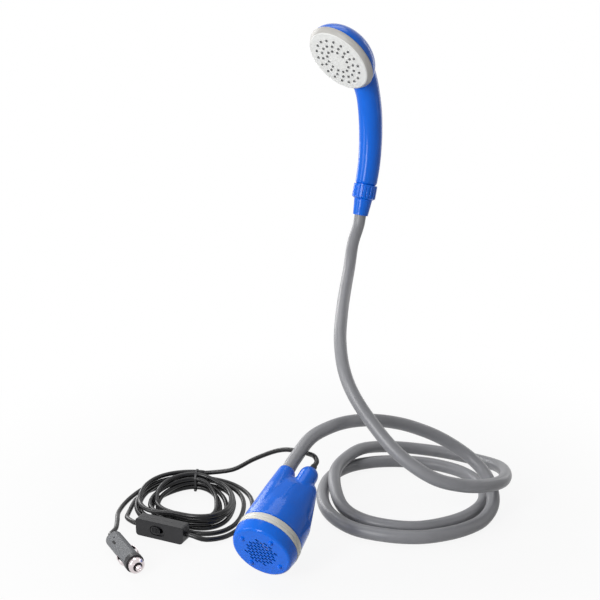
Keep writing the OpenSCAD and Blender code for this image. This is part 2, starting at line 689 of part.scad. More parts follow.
// Hose: its bore is cut round where the spigots are pushed in
bore_r = hose_bore / 2;
flat_bore_r = bore_r - 0.2;
module hose_arch() color(grey) difference() {
    hollow(hose_route, hose_r, flat_bore_r, hose_sides, 0, loops_first);
    at_pump() translate([collar_at[0], collar_at[1], hose_seat_z - 1])
        cylinder(h = spigot_len + 1, r = bore_r);
}
module hose_loops() color(grey) hollow(hose_route, hose_r, flat_bore_r, hose_sides, loops_first, rise_first);
module hose_rise() color(grey) difference() {
    hollow(hose_route, hose_r, flat_bore_r, hose_sides, rise_first, len(hose_route) - 1);
    at_nut() translate([0, 0, hose_end_w - 1]) cylinder(h = spigot_len + 1, r = bore_r);
}

// Hand shower
function grip_r(t) = mix(grip_end_d / 2, grip_d / 2, min(t * 2, 1)) + (t > 0.7 ? (t - 0.7) * 8 : 0);
grip_n = len(grip_line) - 1;
grip_route = [for (p = grip_line) [p[0], 0, p[1]]];
bore_route = concat(grip_route, [[bore_end[0], 0, bore_end[1]]]);
function grip_along(route, i) = i == 0 ? -[nut_dir[0], 0, nut_dir[1]] : along(route, i);
module grip_form(inset, n, route) {
    last = len(route) - 1;
    points = [
        for (i = [0 : last])
            each ring(route[i], [0, 1, 0], grip_along(route, i), grip_r(i / grip_n) - inset, n)
    ];
    walls = [
        for (i = [0 : last - 1], k = [0 : n - 1])
            let (a = i * n + k, b = i * n + (k + 1) % n)
                each [[a, a + n, b + n], [a, b + n, b]]
    ];
    start_cap = [for (k = [1 : n - 2]) [0, k, k + 1]];
    end_cap = [for (k = [1 : n - 2]) [last * n, last * n + k + 1, last * n + k]];
    polyhedron(points, concat(walls, start_cap, end_cap), convexity = 6);
}
head_r = head_d / 2;
rim_wall = 3;
rim_in = 4;
plate_t = 2.4;
face_r = head_r - rim_wall;
dome_r = head_r - 0.4;
// Dome behind the rim: half an oval, turned round the face's axis
module dome_form(inset) translate([0, 0, rim_h]) rotate_extrude() polygon([
    [0, 0],
    for (a = [0 : 6 : 90]) [(dome_r - inset) * cos(a), (dome_h - inset) * sin(a)]
]);
module handset_body() color(blue) {
    difference() {
        union() {
            at_handset() grip_form(0, 32, grip_route);
            at_face() dome_form(0);
            at_nut() translate([0, 0, -2]) cylinder(h = thread_h + 2, r = thread_r);
            at_nut() barbs(hose_end_w - 1);
        }
        at_handset() grip_form(handset_wall + 4, 16, bore_route);
        at_face() dome_form(handset_wall + 0.8);
        at_face() cylinder(h = rim_h + seat_gap, r = head_r + 1);
        at_nut() translate([0, 0, -bore_over])
            cylinder(h = hose_end_w + spigot_len + 2 * bore_over, r = port_bore_r);
    }
    at_face() translate([0, 0, rim_h - rim_in])
        ring_solid(face_r - seat_gap, face_r - handset_wall, rim_in + 1);
}
nozzles = [18, 16, 12];
module nozzle_places() for (j = [0 : 2], k = [0 : nozzles[j] - 1])
    rotate([0, 0, 360 * (k + 0.5 * (j % 2)) / nozzles[j]]) translate([nozzle_r - j * nozzle_step, 0, 0])
        children();
module spray_face() color(pale) at_face() difference() {
    union() {
        rotate_extrude() polygon([
            [0, 0], [face_r - 2, 0], [face_r - 0.8, 0.4], [face_r, 1.4], [head_r, rim_h - 0.9],
            [head_r, rim_h], [face_r, rim_h], [face_r, plate_t], [0, plate_t]
        ]);
        nozzle_places() translate([0, 0, -0.7]) cylinder(h = 1, r1 = 0.9, r2 = 1.3);
    }
    nozzle_places() translate([0, 0, -2]) cylinder(h = 6, r = 0.55, $fn = 16);
}
module face_seal() color(rubber) at_face() translate([0, 0, plate_t])
    ring_solid(face_r - 0.4, face_r - handset_wall, rim_h - rim_in - plate_t);
module hose_nut() color(blue) at_nut() difference() {
    union() {
        translate([0, 0, run_gap]) cylinder(h = nut_grip_h - run_gap - 1, r = nut_d / 2);
        translate([0, 0, nut_grip_h - 1]) cylinder(h = 2, r1 = nut_d / 2, r2 = sleeve_top_r);
        translate([0, 0, nut_grip_h])
            cylinder(h = nut_h - nut_grip_h, r1 = sleeve_top_r, r2 = sleeve_end_r);
    }
    translate([0, 0, -1]) cylinder(h = thread_h + 1.4, r = thread_r + run_gap);
    translate([0, 0, -1]) cylinder(h = nut_h + 2, r = hose_r + run_gap);
    for (k = [0 : flutes - 1]) rotate([0, 0, 360 * k / flutes])
        translate([nut_d / 2 + 0.4, 0, 2.2]) cylinder(h = nut_grip_h - 4, r = 1.1, $fn = 20);
}

// Cable
module cable_switch_lead() color(black) swept(supply_route, cable_r, cable_sides, 0, coil_first);
module cable_coil() color(black) swept(supply_route, cable_r, coil_sides, coil_first, coil_final);
module cable_pump_lead() color(black)
    swept(supply_route, cable_r, cable_sides, coil_final, len(supply_route) - 1);
module cable_plug_lead() color(black) whole(eased(plug_lead_route), cable_r, cable_sides);
// Strap round the bundle, with its head on top
tie_w = 2.6;
tie_head = [4.2, 3.6, 3];
tie_end = 4;
tie_half = (coil_out_r - coil_in_r) / 2 * (1 - tie_squeeze) + cable_r + 1.2;
tie_high = coil_lift * (coil_layers - 1) + cable_d + coil_floor + tie_t + tie_low + 0.4;
module tie_outline(grow) translate([-tie_half - grow, tie_low + tie_t - grow])
    square([2 * (tie_half + grow), tie_high - tie_low - tie_t + 2 * grow]);
module coil_tie() color(black) translate([coil_at[0], coil_at[1], 0]) rotate([0, 0, tie_angle])
    translate([coil_mid_r, 0, 0]) {
        rotate([90, 0, 0]) linear_extrude(height = tie_w, center = true) difference() {
            tie_outline(tie_t);
            tie_outline(0);
        }
        translate([-tie_head[0] / 2, -tie_head[1] / 2, tie_high + tie_t / 2]) cube(tie_head);
        translate([-tie_head[0] / 2 - tie_end, -tie_w / 2, tie_high + tie_t / 2])
            cube([tie_end + 1, tie_w, tie_t]);
    }

// In-line switch
switch_wall = 1.6;
slider_l = 11;
slider_w = 8.2;
stem_l = 6;
stem_w = 5;
recess_l = slider_l + slider_travel + 2;
recess_w = slider_w + 2.6;
recess_deep = 1.6;
boss_in = 9;
switch_boss_r = 2.6;
// Radius of each corner: lower left, lower right, upper right, upper left
switch_corners = [3.5, 5, 2.5, 2.5];
module switch_outline(inset) {
    w = switch_len / 2 - inset;
    low = inset;
    high = switch_h - inset;
    r = [for (c = switch_corners) c - inset];
    polygon([
        [-w, low + r[0]], [-w + r[0], low], [w - r[1], low], [w, low + r[1]],
        [w, high - r[2]], [w - r[2], high], [-w + r[3], high], [-w, high - r[3]]
    ]);
    translate([-w + r[0], low + r[0]]) circle(r = r[0]);
    translate([w - r[1], low + r[1]]) circle(r = r[1]);
    translate([w - r[2], high - r[2]]) circle(r = r[2]);
    translate([-w + r[3], high - r[3]]) circle(r = r[3]);
}
module upright(h) rotate([90, 0, 0]) linear_extrude(height = h) children();
module screw_bosses() for (s = [-1, 1])
    translate([s * (switch_len / 2 - boss_in), 0, entry_z + s * 4.5]) rotate([90, 0, 0]) children();
// One half of the case, from y = back to the seam or from the seam to y = front
module switch_half(front) {
    deep = switch_t / 2 - seat_gap;
    back = front ? -seat_gap : switch_t / 2;
    difference() {
        union() {
            difference() {
                translate([0, back, 0]) upright(deep) switch_outline(0);
                translate([0, back + (front ? 1 : -switch_wall), 0]) upright(deep - switch_wall + 1)
                    switch_outline(switch_wall);
            }
            translate([0, back, 0]) screw_bosses() cylinder(h = deep, r = switch_boss_r);
        }
        translate([0, switch_t / 2 + 1, 0]) screw_bosses()
            cylinder(h = switch_t - 2, r = screw_r + seat_gap);
    }
}
module stadium(l, w) {
    square([l - w, w], center = true);
    for (s = [-1, 1]) translate([s * (l - w) / 2, 0]) circle(r = w / 2);
}
slot_mid = -2;
slider_rest = slot_mid - slider_travel / 2;
module switch_base() color(black) at_switch() switch_half(false);
module switch_cover() color(black) at_switch() difference() {
    union() {
        switch_half(true);
        translate([slot_mid, -switch_t / 2 + 4, entry_z]) upright(3.5) stadium(recess_l + 3, recess_w + 3);
    }
    translate([slot_mid, -switch_t / 2 + recess_deep, entry_z]) upright(6) stadium(recess_l, recess_w);
    translate([slot_mid, 0, entry_z]) upright(switch_t)
        stadium(stem_l + slider_travel + 2 * run_gap, stem_w + 2 * run_gap);
}
// Thumb piece with ribs across it, on a stem that reaches the contacts
module switch_slider() color(charcoal) at_switch() {
    translate([slider_rest, -switch_t / 2 + recess_deep - run_gap, entry_z]) {
        upright(recess_deep) stadium(slider_l, slider_w);
        for (i = [-2 : 2]) translate([i * 1.5 - 0.4, -recess_deep - 0.8, -2.6]) cube([0.8, 1, 5.2]);
    }
    translate([slider_rest, 1, entry_z]) upright(switch_t / 2 - recess_deep + 1.5) stadium(stem_l, stem_w);
}
contact_t = 0.8;
module switch_contacts() color(brass) at_switch() for (x = [-9, 2.5, 11])
    translate([slot_mid + x - 2.5, switch_t / 2 - switch_wall - contact_t, entry_z - 3])
        cube([5, contact_t, 6]);
module switch_screws() color(chrome) at_switch() translate([0, switch_t / 2 - 0.6, 0]) screw_bosses()
    cylinder(h = switch_t - 4, r = screw_r);

// Vehicle plug
plug_r = plug_w / 2;
plug_t = plug_w - 2;
tail_r = cable_r + 1.1;
tail_h = 6;
plug_screw_z = 9;
fuse_r = 3.15;
fuse_len = 30;
fuse_z = 12;
spring_r = 5.4;
spring_z = fuse_z + fuse_len;
collar_h = 6;
nose_h = 7;
nose_seat = 3;
nose_step = 0.9;
nose_thread_r = nose_d / 2 - 1.2;
tip_r = 3.1;
tip_flange = 2;
contact_l = 15;
contact_w = 5;
contact_z = plug_len - 20;
contact_out = 2.2;
contact_in = 1.9;
// Window over the fuse
window_x = -4.2;
window_z = 13;
window_w = 2.4;
window_l = 6.5;
module plug_form() difference() {
    union() {
        linear_extrude(height = plug_len) intersection() {
            circle(r = plug_r);
            square([plug_w, plug_t], center = true);
        }
        cylinder(h = plug_len + collar_h + nose_seat, r = nose_thread_r);
    }
    translate([0, 0, -1]) cylinder(h = tail_h + 1, r = tail_r + seat_gap);
    for (s = [-1, 1]) translate([s * 2.4, 0, tail_h - 1]) cylinder(h = fuse_z - tail_h + 2, r = 0.9);
    translate([0, 0, fuse_z]) cylinder(h = fuse_len + 1, r = fuse_r + seat_gap);
    translate([0, 0, spring_z]) cylinder(h = plug_len, r = spring_r);
    for (s = [-1, 1]) translate([s * plug_r, 0, contact_z + contact_l / 2])
        cube([2 * (contact_in + contact_travel + run_gap), contact_w + 2 * run_gap,
              contact_l + 2 * run_gap], center = true);
    translate([0, -plug_r, plug_screw_z]) rotate([-90, 0, 0]) cylinder(h = plug_w, r = screw_r + seat_gap);
    translate([window_x, plug_t / 2 - 2, window_z]) cube([window_w, 4, window_l]);
}
module plug_half(s) intersection() {
    plug_form();
    translate([-plug_w, s > 0 ? seat_gap : -plug_w - seat_gap, -5])
        cube([2 * plug_w, plug_w, plug_len + 40]);
}
module plug_half_upper() color(charcoal) at_plug() plug_half(1);
module plug_half_lower() color(charcoal) at_plug() plug_half(-1);
module plug_collar() color(black) at_plug() translate([0, 0, plug_len])
    ring_solid(collar_d / 2, nose_thread_r + seat_gap, collar_h);
module plug_nose_ring() color(chrome) at_plug() translate([0, 0, plug_len + collar_h]) difference() {
    rotate_extrude() polygon([
        [0, 0], [nose_d / 2, 0], [nose_d / 2, nose_h - 2], [nose_d / 2 - 2.4, nose_h], [0, nose_h]
    ]);
    translate([0, 0, -1]) cylinder(h = nose_seat + 1 + seat_gap, r = nose_thread_r + seat_gap);
    translate([0, 0, -1]) cylinder(h = nose_h - 1, r = spring_r);
    translate([0, 0, -1]) cylinder(h = nose_h + 3, r = tip_r + run_gap);
    translate([0, 0, nose_h - nose_step]) cylinder(h = nose_step + 1, r = tip_r + run_gap + 1.2);
}
// Sprung centre contact: its flange rests behind the nose ring
tip_base = plug_len + collar_h + nose_h - 2 - tip_flange - run_gap;
module plug_tip() color(chrome) at_plug() translate([0, 0, tip_base]) rotate_extrude() polygon([
    [0, 0], [spring_r - run_gap, 0], [spring_r - run_gap, tip_flange], [tip_r, tip_flange], [tip_r, 7],
    [tip_r - 0.8, 7.6], [tip_r - 1.2, 8.6], [1, 8.9], [0.8, 8.1], [0, 8.1]
]);
module plug_fuse() color(pale) at_plug() translate([0, 0, fuse_z]) cylinder(h = fuse_len, r = fuse_r);
spring_turns = 6;
wire_r = 0.4;
coil_r_mid = spring_r - run_gap - wire_r - 0.4;
module plug_spring() color(chrome) at_plug() whole([
    for (a = [0 : 45 : 360 * spring_turns])
        [coil_r_mid * cos(a), coil_r_mid * sin(a),
         mix(spring_z + wire_r + 0.1, tip_base - wire_r - 0.1, a / 360 / spring_turns)]
], wire_r, 6);
// Bowed side contact with a foot at each end
contact_strip = 0.9;
module bow(inset) intersection() {
    translate([contact_out - contact_l, contact_l / 2]) circle(r = contact_l - inset);
    translate([-contact_in - 2 * inset, inset])
        square([contact_in + contact_out + 1 + inset, contact_l - 2 * inset]);
}
module plug_contact(turn) rotate([0, 0, turn]) translate([plug_r, 0, contact_z]) rotate([90, 0, 0])
    linear_extrude(height = contact_w, center = true) difference() {
        bow(0);
        bow(contact_strip);
    }
module plug_contact_left() color(chrome) at_plug() plug_contact(180);
module plug_contact_right() color(chrome) at_plug() plug_contact(0);
module plug_tail() color(rubber) at_plug() rotate_extrude() polygon([
    [0, 0], [tail_r - 0.3, 0], [tail_r, 3], [tail_r, tail_h], [0, tail_h]
]);
module plug_screw() color(chrome) at_plug() translate([0, -plug_t / 2 + 1, plug_screw_z])
    rotate([-90, 0, 0]) cylinder(h = plug_t - 3, r = screw_r);

pump_shell();
trim_band();
intake_cap();
cap_seal();
suction_plate();
volute();
volute_screws();
outlet_pipe();
shaft_seal();
motor_can();
motor_magnets();
motor_end_bell();
motor_brushes();
shaft_bushes();
motor_leads();
cable_gland();
motor_shaft();
armature_core();
armature_windings();
commutator();
impeller();
hose_arch();
hose_loops();
hose_rise();
handset_body();
spray_face();
face_seal();
hose_nut();
cable_pump_lead();
cable_coil();
coil_tie();
cable_switch_lead();
cable_plug_lead();
switch_base();
switch_cover();
switch_slider();
switch_contacts();
switch_screws();
plug_half_upper();
plug_half_lower();
plug_collar();
plug_nose_ring();
plug_tip();
plug_spring();
plug_fuse();
plug_contact_left();
plug_contact_right();
plug_tail();
plug_screw();
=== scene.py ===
import json
import math

import bmesh
import bpy
from mathutils import Matrix, Vector

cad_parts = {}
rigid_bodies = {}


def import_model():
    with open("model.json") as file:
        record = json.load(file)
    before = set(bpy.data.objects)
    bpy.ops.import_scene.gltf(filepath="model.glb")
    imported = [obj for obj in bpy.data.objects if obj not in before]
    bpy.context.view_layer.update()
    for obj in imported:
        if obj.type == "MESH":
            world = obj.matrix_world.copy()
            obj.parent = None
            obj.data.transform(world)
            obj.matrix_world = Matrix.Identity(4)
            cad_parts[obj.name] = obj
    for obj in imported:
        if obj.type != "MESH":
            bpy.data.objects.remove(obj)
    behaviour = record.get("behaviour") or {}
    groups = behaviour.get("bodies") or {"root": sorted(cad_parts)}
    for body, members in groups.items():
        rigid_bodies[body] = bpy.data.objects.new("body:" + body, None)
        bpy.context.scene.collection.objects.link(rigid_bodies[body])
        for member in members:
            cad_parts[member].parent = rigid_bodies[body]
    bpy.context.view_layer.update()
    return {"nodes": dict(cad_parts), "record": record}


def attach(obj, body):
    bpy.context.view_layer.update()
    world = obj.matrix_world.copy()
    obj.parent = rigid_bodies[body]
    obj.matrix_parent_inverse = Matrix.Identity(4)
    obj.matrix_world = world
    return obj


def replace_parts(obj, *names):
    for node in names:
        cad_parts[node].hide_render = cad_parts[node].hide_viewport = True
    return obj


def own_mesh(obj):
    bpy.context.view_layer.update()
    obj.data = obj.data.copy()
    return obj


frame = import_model()
nodes = frame["nodes"]
scene = bpy.context.scene
scene.view_settings.view_transform = "Standard"
MM = 0.001


def rad(d):
    return math.radians(d)


# Camera at the photograph's place
CAMERA_AT, CAMERA_TILT = (-0.017, -1.015, 0.514), 74.3
LENS, SENSOR = 60, 36
camera_data = bpy.data.cameras.new("camera")
camera_data.lens = LENS
camera_data.sensor_width = SENSOR
camera = bpy.data.objects.new("camera", camera_data)
camera.location = CAMERA_AT
camera.rotation_euler = (rad(CAMERA_TILT), 0, 0)
scene.collection.objects.link(camera)
scene.camera = camera


# Each lamp has its place, the point it faces, its width and height in metres and its power in watts.
LAMPS = {
    "key": ((-0.95, -1.25, 0.72), (0.03, 0.05, 0.3), (0.85, 1.1), 2),
    "strip": ((-0.92, -1.12, 0.72), (0.05, 0.1, 0.3), (0.36, 1.1), 17),
    "left": ((-1.45, -0.30, 0.55), (-0.05, -0.05, 0.25), (0.45, 1.1), 7),
    "fill": ((1.6, -0.2, 0.8), (0.05, 0, 0.3), (0.4, 1.2), 2),
    "top": ((-0.2, 0.6, 1.9), (0, 0, 0), (1.4, 1.0), 12),
    "back_left": ((-1.0, 1.3, 0.75), (0, 0, 0.2), (0.35, 1.2), 9),
    "back_right": ((1.2, 1.2, 0.7), (0, 0, 0.3), (0.3, 1.2), 3),
}
ROOM_LIGHT = 0.12


def softbox(name, place, target, size, power):
    data = bpy.data.lights.new(name, "AREA")
    data.shape = "RECTANGLE"
    data.size, data.size_y = size
    data.energy = power
    obj = bpy.data.objects.new(name, data)
    obj.location = place
    obj.rotation_euler = (Vector(target) - Vector(place)).to_track_quat("-Z", "Y").to_euler()
    scene.collection.objects.link(obj)


for lamp, values in LAMPS.items():
    softbox(lamp, *values)


def seen_rays(tree):
    """1 for what is seen straight, in a mirror or through glass, 0 for the light that falls on surfaces."""
    path = tree.nodes.new("ShaderNodeLightPath")
    total = path.outputs["Is Camera Ray"]
    for kind in ("Is Glossy Ray", "Is Transmission Ray"):
        join = tree.nodes.new("ShaderNodeMath")
        join.operation = "MAXIMUM"
        tree.links.new(total, join.inputs[0])
        tree.links.new(path.outputs[kind], join.inputs[1])
        total = join.outputs[0]
    return total


def white_room():
    world = bpy.data.worlds.new("studio")
    scene.world = world
    world.use_nodes = True
    tree = world.node_tree
    tree.nodes.clear()
    seen = tree.nodes.new("ShaderNodeBackground")
    seen.inputs["Color"].default_value = (1, 1, 1, 1)
    seen.inputs["Strength"].default_value = 1.0
    lit = tree.nodes.new("ShaderNodeBackground")
    lit.inputs["Color"].default_value = (1, 1, 1, 1)
    lit.inputs["Strength"].default_value = ROOM_LIGHT
    mix = tree.nodes.new("ShaderNodeMixShader")
    out = tree.nodes.new("ShaderNodeOutputWorld")
    tree.links.new(seen_rays(tree), mix.inputs[0])
    tree.links.new(lit.outputs[0], mix.inputs[1])
    tree.links.new(seen.outputs[0], mix.inputs[2])
    tree.links.new(mix.outputs[0], out.inputs["Surface"])


white_room()


# Materials
RAMP_LOW, RAMP_HIGH = 0.3, 0.7
BROAD_DETAIL, FINE_DETAIL = 4, 3
RELIEF_DEPTH = 0.0004


def material(name, colour, shade, scale, rough, bump, grain, metallic=0.0, gloss=0.5):
    """Principled surface whose colour, roughness and fine relief vary with noise in object space.

    The colour goes down to its shade over noise of a broad scale, the roughness goes over the two values of
    rough, and bump is the strength of a relief of the scale grain.
    """
    mat = bpy.data.materials.new(name)
    mat.use_nodes = True
    tree = mat.node_tree
    shader = tree.nodes["Principled BSDF"]
    shader.inputs["Metallic"].default_value = metallic
    shader.inputs["Specular IOR Level"].default_value = gloss
    place = tree.nodes.new("ShaderNodeTexCoord")
    broad = tree.nodes.new("ShaderNodeTexNoise")
    broad.inputs["Scale"].default_value = scale
    broad.inputs["Detail"].default_value = BROAD_DETAIL
    tree.links.new(place.outputs["Object"], broad.inputs["Vector"])
    ramp = tree.nodes.new("ShaderNodeValToRGB")
    low, high = ramp.color_ramp.elements
    low.position, high.position = RAMP_LOW, RAMP_HIGH
    low.color = (*[c * shade for c in colour], 1)
    high.color = (*colour, 1)
    tree.links.new(broad.outputs["Fac"], ramp.inputs["Fac"])
    tree.links.new(ramp.outputs["Color"], shader.inputs["Base Color"])
    spread = tree.nodes.new("ShaderNodeMapRange")
    spread.inputs["To Min"].default_value, spread.inputs["To Max"].default_value = rough
    tree.links.new(broad.outputs["Fac"], spread.inputs["Value"])
    tree.links.new(spread.outputs["Result"], shader.inputs["Roughness"])
    fine = tree.nodes.new("ShaderNodeTexNoise")
    fine.inputs["Scale"].default_value = grain
    fine.inputs["Detail"].default_value = FINE_DETAIL
    tree.links.new(place.outputs["Object"], fine.inputs["Vector"])
    relief = tree.nodes.new("ShaderNodeBump")
    relief.inputs["Strength"].default_value = bump
    relief.inputs["Distance"].default_value = RELIEF_DEPTH
    tree.links.new(fine.outputs["Fac"], relief.inputs["Height"])
    tree.links.new(relief.outputs["Normal"], shader.inputs["Normal"])
    return mat


# Name, colour, shade, broad scale, roughness, bump, grain, metal or not, and gloss where it isn't plain
FINISHES = {
    "blue": ("blue_gloss", (0.002, 0.130, 0.69), 0.94, 60, (0.14, 0.18), 0.02, 900, 0, 0.20),
    "cream": ("cream_satin", (0.61, 0.605, 0.56), 0.96, 120, (0.34, 0.42), 0.04, 1500, 0, 0.35),
    "hose": ("hose_grey", (0.226, 0.228, 0.242), 0.92, 90, (0.34, 0.42), 0.02, 1400, 0, 0.5),
    "spray": ("spray_grey", (0.70, 0.705, 0.69), 0.97, 120, (0.32, 0.40), 0.03, 1500, 0, 0.35),
    "cable": ("cable_black", (0.005, 0.005, 0.006), 0.80, 160, (0.26, 0.34), 0.05, 2200, 0, 0.35),
    "seal": ("rubber_black", (0.016, 0.016, 0.017), 0.80, 200, (0.55, 0.70), 0.10, 2500, 0, 0.30),
    "dark": ("switch_black", (0.010, 0.010, 0.012), 0.85, 300, (0.34, 0.44), 0.10, 3000, 0, 0.45),
    "plug": ("plug_grey", (0.135, 0.140, 0.148), 0.75, 500, (0.48, 0.62), 0.35, 2600, 0, 0.35),
    "chrome": ("chrome", (0.70, 0.63, 0.64), 0.95, 200, (0.14, 0.22), 0.02, 2000, 1),
    "steel": ("steel", (0.55, 0.55, 0.57), 0.90, 300, (0.25, 0.38), 0.05, 3000, 1),
    "brass": ("brass", (0.70, 0.50, 0.20), 0.88, 300, (0.25, 0.38), 0.05, 3000, 1),
    "copper": ("copper", (0.62, 0.25, 0.11), 0.85, 600, (0.28, 0.40), 0.20, 4000, 1),
    "magnet": ("magnet", (0.045, 0.045, 0.05), 0.80, 300, (0.50, 0.65), 0.10, 2500),
    "fuse": ("fuse", (0.72, 0.76, 0.76), 0.95, 200, (0.10, 0.16), 0.01, 1500),
    "lead": ("lead_red", (0.26, 0.010, 0.008), 0.90, 300, (0.40, 0.50), 0.04, 2000),
    "nylon": ("nylon", (0.72, 0.74, 0.72), 0.95, 200, (0.40, 0.52), 0.05, 1800),
}
MATERIALS = {slot: material(*finish) for slot, finish in FINISHES.items()}
# Painted shade: the rim ring's warm grey is darker than the face's grey, standing in for the shade on the
# rim's side
rim_painted_shade_grey = material("rim_painted_shade_grey", (0.43, 0.42, 0.40), 0.96, 120, (0.32, 0.40), 0.03, 1500, gloss=0.3)
nozzle_rubber = material("nozzle_rubber", (0.16, 0.16, 0.165), 0.80, 400, (0.50, 0.62), 0.05, 2000,
                         gloss=0.2)
SLOT = {s["node"]: s["material_slot"] for s in frame["record"]["subparts"]}


def wear(obj, mat):
    obj.data.materials.clear()
    obj.data.materials.append(mat)


for name, obj in nodes.items():
    wear(obj, MATERIALS[SLOT[name]])


# Frames of the pump, which lies on its cap's edge, the hand shower, the switch and the plug, in millimetres
def turn(degrees, axis):
    return Matrix.Rotation(rad(degrees), 4, axis)


def shift(*place):
    return Matrix.Translation(place)


PUMP_R = 33
PUMP_AT, PUMP_TURN, PUMP_RISE = (-54, -170), -26, 20
CAP_EDGE_R, CAP_EDGE_Z = PUMP_R - 2, 2.4
pump_up = CAP_EDGE_R * math.cos(rad(PUMP_RISE)) - CAP_EDGE_Z * math.sin(rad(PUMP_RISE))
PUMP = shift(*PUMP_AT, pump_up) @ turn(PUMP_TURN, "Z") @ turn(PUMP_RISE - 90, "X")
HAND_AT, HAND_TURN, HAND_H = (66.5, 175), 222, 324
HAND = shift(*HAND_AT, 0) @ turn(HAND_TURN, "Z")
NUT_X, NUT_LEAN = 6.6, 13.4
NUT = HAND @ shift(NUT_X, 0, HAND_H) @ turn(180 - NUT_LEAN, "Y")
FACE_X, FACE_Z, FACE_TILT = 55, 144, 38
FACE = HAND @ shift(FACE_X, 0, HAND_H + FACE_Z) @ turn(FACE_TILT - 90, "Y")
SWITCH_AT, SWITCH_TURN = (-158.5, -89), -23.7
SWITCH = shift(*SWITCH_AT, 0) @ turn(SWITCH_TURN, "Z")
PLUG_AT, PLUG_TURN, PLUG_ROLL = (-204.4, -110, 9.6), 31, 25
PLUG = shift(*PLUG_AT) @ turn(PLUG_TURN, "Z") @ turn(90, "X") @ turn(PLUG_ROLL, "Z")
SHELL_Z, COLLAR_Z = 21, 94
COLLAR = (-13.5, -15)
BOSS = (9.2, -13)
BOSS_R, BOSS_Z = 9.8, 95
HOSE_R, CABLE_R = 7.0, 2.5


# Cords
def smoothed(points, per):
    """Points of a smooth curve through the given ones, so many per stretch, in the same units."""
    p = [Vector(q) for q in points]
    p = [2 * p[0] - p[1]] + p + [2 * p[-1] - p[-2]]
    out = []
    for i in range(1, len(p) - 2):
        for k in range(per):
            t = k / per
            a, b, c, d = p[i - 1], p[i], p[i + 1], p[i + 2]
            out.append(0.5 * (2 * b + (c - a) * t + (2 * a - 5 * b + 4 * c - d) * t * t
                              + (3 * b - a - 3 * c + d) * t ** 3))
    out.append(p[-2])
    return out


def cord(name, points, radius, slot, rounding):
    """Round cord along points in millimetres, as a curve of one open spline in metres."""
    data = bpy.data.curves.new(name, "CURVE")
    data.dimensions = "3D"
    data.bevel_depth = radius * MM
    data.bevel_resolution = rounding
    data.use_fill_caps = True
    spline = data.splines.new("POLY")
    spline.points.add(len(points) - 1)
    for q, v in zip(spline.points, points):
        q.co = (*(v * MM), 1)
    spline.use_smooth = True
    obj = bpy.data.objects.new(name, data)
    scene.collection.objects.link(obj)
    data.materials.append(MATERIALS[slot])
    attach(obj, "kit")
    return obj


HOSE_STEPS, CABLE_STEPS = 6, 4
HOSE_ROUND, CABLE_ROUND = 8, 5
HOSE_ARCH = [(-6, -48, 92), (15, -30, 97), (38, -14, 97), (65, 1, 92), (93, 11, 84), (116, 16, 75),
             (138, 17, 65), (159, 14, 53), (176, 5, 42), (187, -10, 32), (191, -30, 22)]
HOSE_LOOPS = [(188, -48, 14), (176, -66, 8), (158, -82, 7), (133, -95, 7), (103, -102, 7), (70, -98, 7),
              (37, -83, 7), (15, -52, 7), (8, -12, 7), (16, 32, 7), (38, 62, 7), (70, 77, 7), (105, 79, 7),
              (140, 71, 7), (170, 51, 7), (186, 21, 7), (187, -10, 7), (175, -40, 7), (148, -66, 7),
              (108, -82, 7), (73, -78, 7), (46, -65, 8), (29, -42, 10), (22, -8, 15), (23, 24, 20),
              (35, 52, 22.5), (57, 82, 22), (90, 106, 14), (127, 113, 8), (162, 100, 8), (192, 70, 13),
              (209, 34, 22), (209, -6, 32)]
HOSE_RISE = [(198, -42, 40), (176, -65, 46), (148, -76, 52), (118, -76, 61), (85, -61, 80), (59, -39, 105),
             (40, -22, 130), (30, -2, 152), (27, 28, 175), (30, 62, 196), (35, 97, 213), (41, 130, 232),
             (46, 151, 256)]
collar_run = [PUMP @ Vector((*COLLAR, COLLAR_Z + d)) for d in (-12, 2, 18)]
nut_run = [NUT @ Vector((0, 0, w)) for w in (50, 35, 15)]
hose_points = smoothed(collar_run + HOSE_ARCH + HOSE_LOOPS + HOSE_RISE + nut_run, HOSE_STEPS)
hose = cord("hose", hose_points, HOSE_R, "hose", HOSE_ROUND)
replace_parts(hose, "hose_arch", "hose_loops", "hose_rise")

COIL = Vector((-139, -25, 0))
IN_R, OUT_R, MID_R = 34, 61, 47.5
TURNS, LAYERS, CLIMB = 7, 4, 180
START_ANGLE, END_ANGLE, TIE_ANGLE, SWITCH_ANGLE, BULGE_ANGLE = 180, 70, 84, 253, 303
SWEEP = START_ANGLE - END_ANGLE + 360 * TURNS
LAYER = (SWEEP - CLIMB * (LAYERS - 1)) / LAYERS
TIE_SQUEEZE, SWITCH_DENT, BULGE, REACH = 0.6, 0.42, 13, 34
LOOSE, WANDER = 4, 0.62
REST_GAP, FLOOR_GAP, TIE_LIFT = 0.4, 0.3, 1.0
STEP, LAG, BATCH, EASINGS = 6, 12, 30, 60


def near(angle, at):
    """1 at an angle of the coil, falling to 0 on both sides of it."""
    off = (angle - at + 180) % 360 - 180
    return math.exp(-(off / REACH) ** 2)


def coil_plan(a):
    """Place of the coil's middle line in plan after a degrees of winding."""
    layer = min(int(a // (LAYER + CLIMB)), LAYERS - 1)
    share = min((a - layer * (LAYER + CLIMB)) / LAYER, 1)
    r = OUT_R + (IN_R - OUT_R) * (share if layer % 2 == 0 else 1 - share)
    r -= LOOSE * (1 - math.cos(rad(a * WANDER))) / 2
    angle = START_ANGLE - a
    r += TIE_SQUEEZE * near(angle, TIE_ANGLE) * (MID_R - r)
    r += SWITCH_DENT * near(angle, SWITCH_ANGLE) * (IN_R - r)
    r += BULGE * near(angle, BULGE_ANGLE)
    lift = CABLE_R + FLOOR_GAP + TIE_LIFT * near(angle, TIE_ANGLE)
    return COIL + Vector((r * math.cos(rad(angle)), r * math.sin(rad(angle)), lift))


